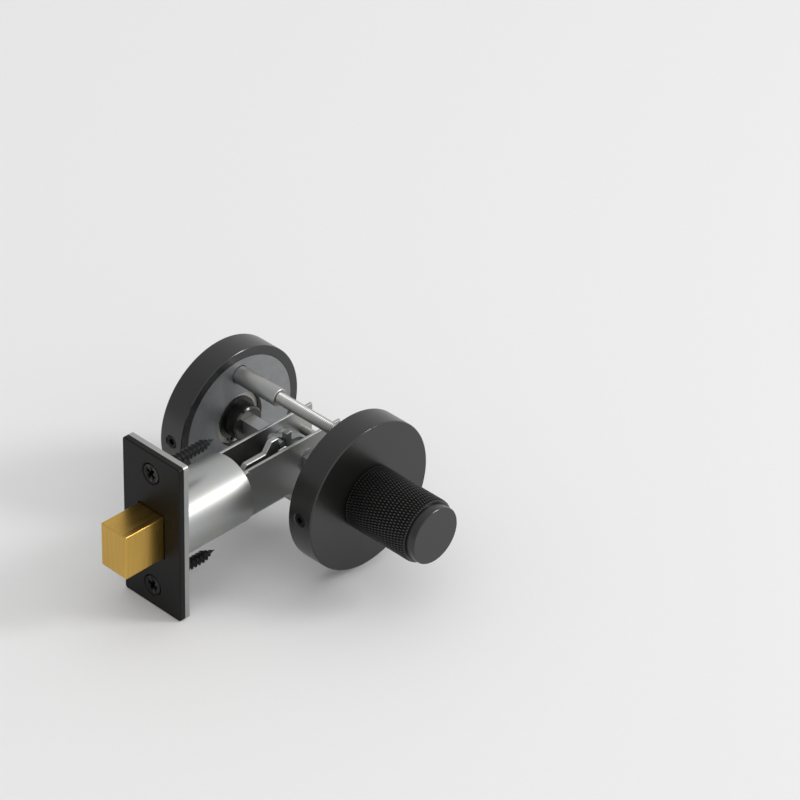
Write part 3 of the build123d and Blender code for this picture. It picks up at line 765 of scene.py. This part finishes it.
# Painted shade as dark colour in the grooves, painted highlight as lighter colour on the tops
colour = add_node(worn_coat_with_painted_light, "ShaderNodeMixRGB", {
    "Fac": wear_and_painted_light.outputs["Result"],
    "Color1": linear("#080808"),
    "Color2": linear("#1e1d1b"),
})
gloss = add_node(worn_coat_with_painted_light, "ShaderNodeMapRange", {
    "Value": wear_and_painted_light.outputs["Result"],
    "To Min": 0.5,
    "To Max": 0.26,
})
# Reflection level is dimmed in the grooves as painted shade and raised on the tops as a painted highlight
sheen = add_node(worn_coat_with_painted_light, "ShaderNodeMapRange", {
    "Value": wear_and_painted_light.outputs["Result"],
    "To Min": 0.2,
    "To Max": 0.7,
})
surface = add_node(worn_coat_with_painted_light, "ShaderNodeBsdfPrincipled", {
    "Base Color": colour.outputs["Color"],
    "Roughness": gloss.outputs["Result"],
    "Specular IOR Level": sheen.outputs["Result"],
    "IOR": 1.6,
})
add_node(worn_coat_with_painted_light, "ShaderNodeOutputMaterial", {"Surface": surface.outputs["BSDF"]})
# The knurl behind its chamfer takes the coat with the painted groove shade and top highlight
knob.data.materials.append(worn_coat_with_painted_light)
for polygon in knob.data.polygons:
    behind_chamfer = grip_front + grip_chamfer < polygon.center.y < grip_back - level_within
    polygon.material_index = int(behind_chamfer and polygon.center.xz.length > band_radius)


# Studio: a pale matte table, a soft lamp to the right and front, and a pale room that is brighter there.
# The set stands on the lower end of its faceplate.

paper_fibre = 2 * mm

matte_card = new_material("matte card")
place = add_node(matte_card, "ShaderNodeTexCoord", {}).outputs["Object"]
fibres = add_node(matte_card, "ShaderNodeTexNoise", {"Vector": place, "Scale": 1 / paper_fibre, "Detail": 3})
colour = add_node(matte_card, "ShaderNodeMixRGB", {
    "Fac": fibres.outputs["Fac"],
    "Color1": linear("#e9e9e9"),
    "Color2": linear("#ebebeb"),
})
surface = add_node(matte_card, "ShaderNodeBsdfPrincipled", {
    "Base Color": colour.outputs["Color"],
    "Roughness": 0.9,
    "Specular IOR Level": 0.1,
})
add_node(matte_card, "ShaderNodeOutputMaterial", {"Surface": surface.outputs["BSDF"]})

table_size = 6
table_shape = bmesh.new()
bmesh.ops.create_grid(table_shape, x_segments=1, y_segments=1, size=table_size / 2)
bmesh.ops.translate(table_shape, verts=table_shape.verts, vec=(0, 0, cad_box[0].z))
table = make_object("table", table_shape, sharp_angle=30)
table.data.materials.append(matte_card)

world = bpy.data.worlds.new("pale room")
world.use_nodes = True
world.node_tree.nodes.clear()
window_direction = Vector((0.55, -0.78, 0.3)).normalized()
direction = add_node(world, "ShaderNodeTexCoord", {}).outputs["Generated"]
towards = add_node(world, "ShaderNodeVectorMath", {
    0: direction,
    1: window_direction,
}, operation="DOT_PRODUCT")
nearness = add_node(world, "ShaderNodeMapRange", {
    "Value": towards.outputs["Value"],
    "From Min": -0.5,
    "From Max": 0.7,
})
room_colour = add_node(world, "ShaderNodeMixRGB", {
    "Fac": nearness.outputs["Result"],
    "Color1": linear("#c0c0c0"),
    "Color2": linear("#ffffff"),
})
light = add_node(world, "ShaderNodeBackground", {"Color": room_colour.outputs["Color"], "Strength": 1.05})
add_node(world, "ShaderNodeOutputWorld", {"Surface": light.outputs["Background"]})
bpy.context.scene.world = world

lamp_direction = Vector((0.575, -0.61, 0.545)).normalized()
lamp_distance = 1.6
lamp_size = 0.42
lamp_power = 8
lamp = bpy.data.objects.new("soft lamp", bpy.data.lights.new("soft lamp", "AREA"))
lamp.data.size = lamp_size
lamp.data.energy = lamp_power
lamp.location = lamp_direction * lamp_distance
lamp.rotation_euler = lamp_direction.to_track_quat("Z", "Y").to_euler()
bpy.context.scene.collection.objects.link(lamp)


# Camera: a long lens, a little over a metre away, that looks down on the turn from the bolt's side.
# Its place and its slight roll were solved from straight edges in the photo.

camera_place = Vector((-0.66665, -0.64873, 0.67476))
camera_azimuth = radians(-46.734)
camera_elevation = radians(34.652)
camera_roll = radians(1.741)
focal_length = 167.2

back = Vector((
    sin(camera_azimuth) * cos(camera_elevation),
    -cos(camera_azimuth) * cos(camera_elevation),
    sin(camera_elevation),
))
level = Vector((cos(camera_azimuth), sin(camera_azimuth), 0))
upright = back.cross(level)
across = level * cos(camera_roll) + upright * sin(camera_roll)
up = back.cross(across)
camera = bpy.data.objects.new("camera", bpy.data.cameras.new("camera"))
camera.data.lens = focal_length
camera.matrix_world = Matrix.Translation(camera_place) @ Matrix((across, up, back)).transposed().to_4x4()
bpy.context.scene.collection.objects.link(camera)
bpy.context.scene.camera = camera
bpy.context.scene.view_settings.view_transform = "Standard"
